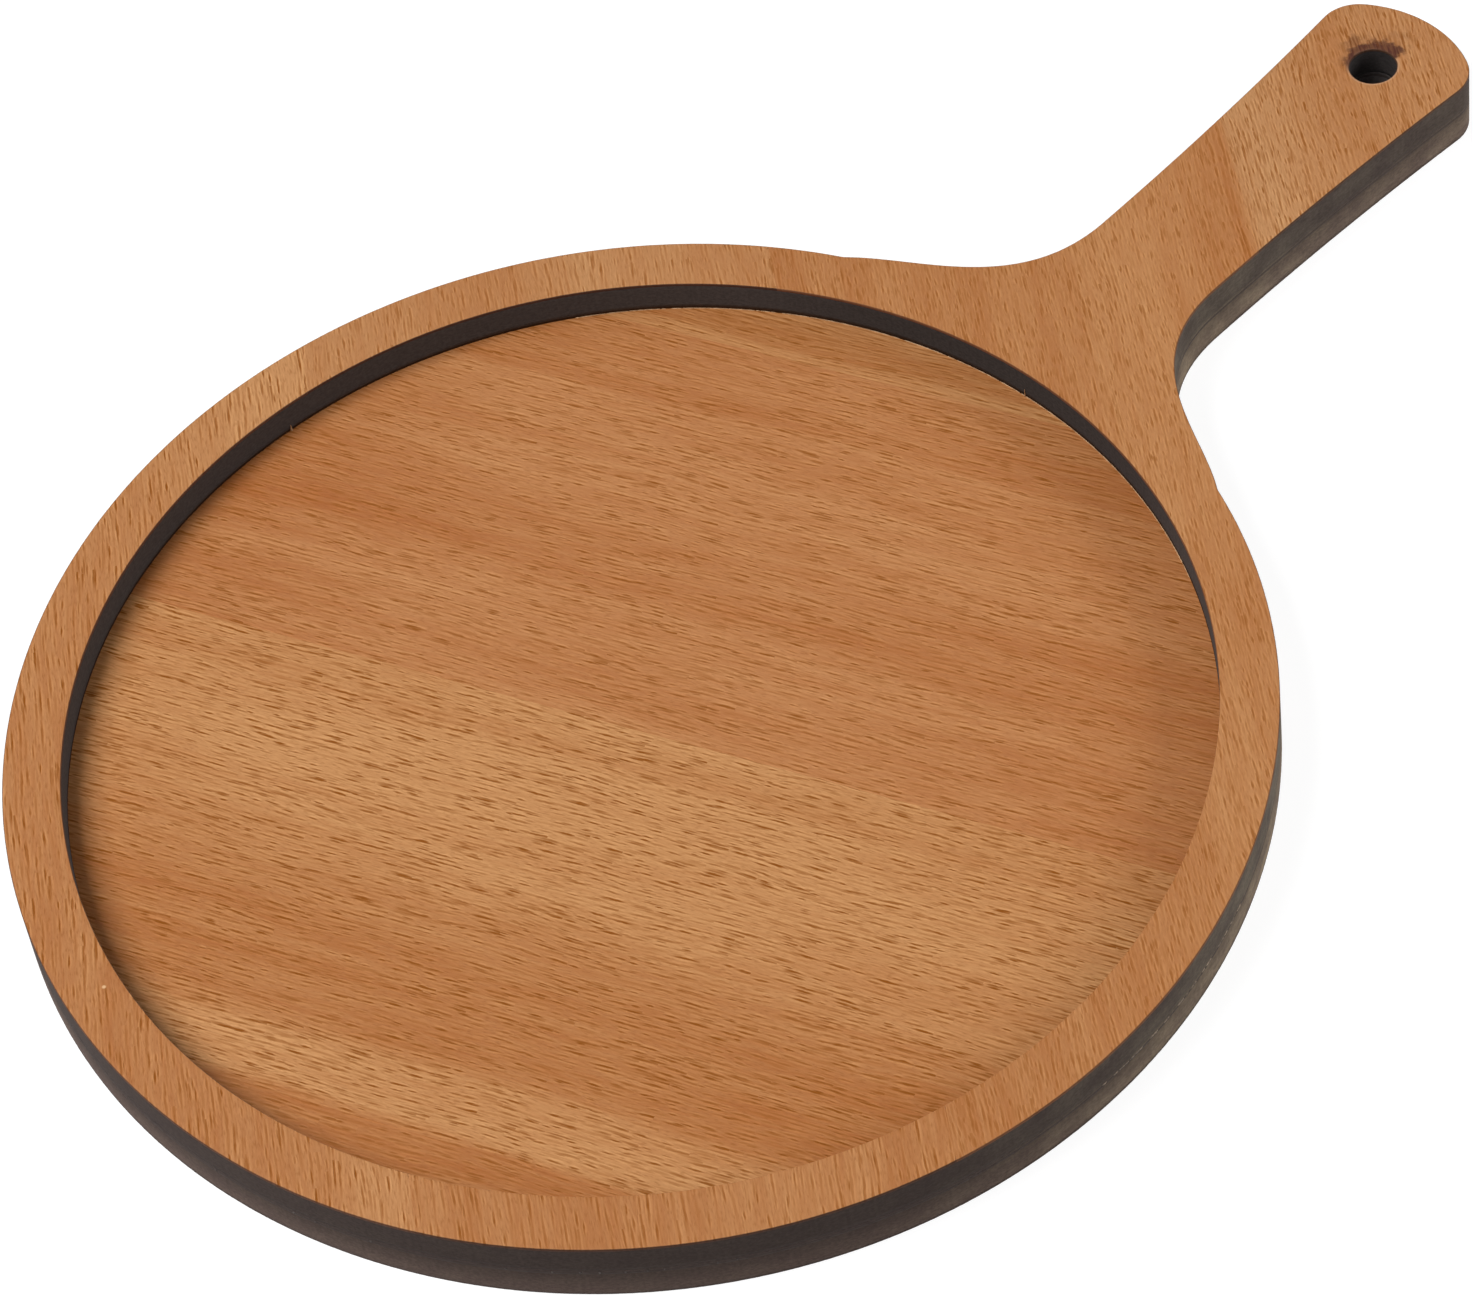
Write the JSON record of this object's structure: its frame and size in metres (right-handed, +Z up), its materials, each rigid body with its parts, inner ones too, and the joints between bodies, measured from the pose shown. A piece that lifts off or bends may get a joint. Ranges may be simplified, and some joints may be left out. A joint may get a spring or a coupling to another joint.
{
  "type": "snack plate",
  "caption": "Round wooden snack plate with a flat recessed tray, a rim and a flared handle with a hanging hole, glued up from veneered sheets.",
  "frame": {"origin": "middle of the round plate, on its underside", "axes": "+X along the handle towards its tip, +Z up out of the tray, +Y across the plate"},
  "size_m": [0.3001, 0.2044, 0.012],
  "materials": {
    "base_veneer": "satin beech veneer",
    "frame_veneer": "satin beech veneer",
    "hidden_veneer": "bare beech veneer, glued",
    "charred_core": "fibreboard with laser-charred edges"
  },
  "bodies": {
    "root": {"underside_leaf_1": "base_veneer", "underside_leaf_2": "base_veneer", "underside_leaf_3": "base_veneer", "underside_leaf_4": "base_veneer", "base_core": "charred_core", "floor_leaf_1": "base_veneer", "floor_leaf_2": "base_veneer", "floor_leaf_3": "base_veneer", "floor_leaf_4": "base_veneer", "frame_back_veneer": "hidden_veneer", "frame_core": "charred_core", "frame_leaf_1": "frame_veneer", "frame_leaf_2": "frame_veneer", "frame_leaf_3": "frame_veneer", "frame_leaf_4": "frame_veneer", "frame_leaf_5": "frame_veneer"}
  },
  "joints": []
}
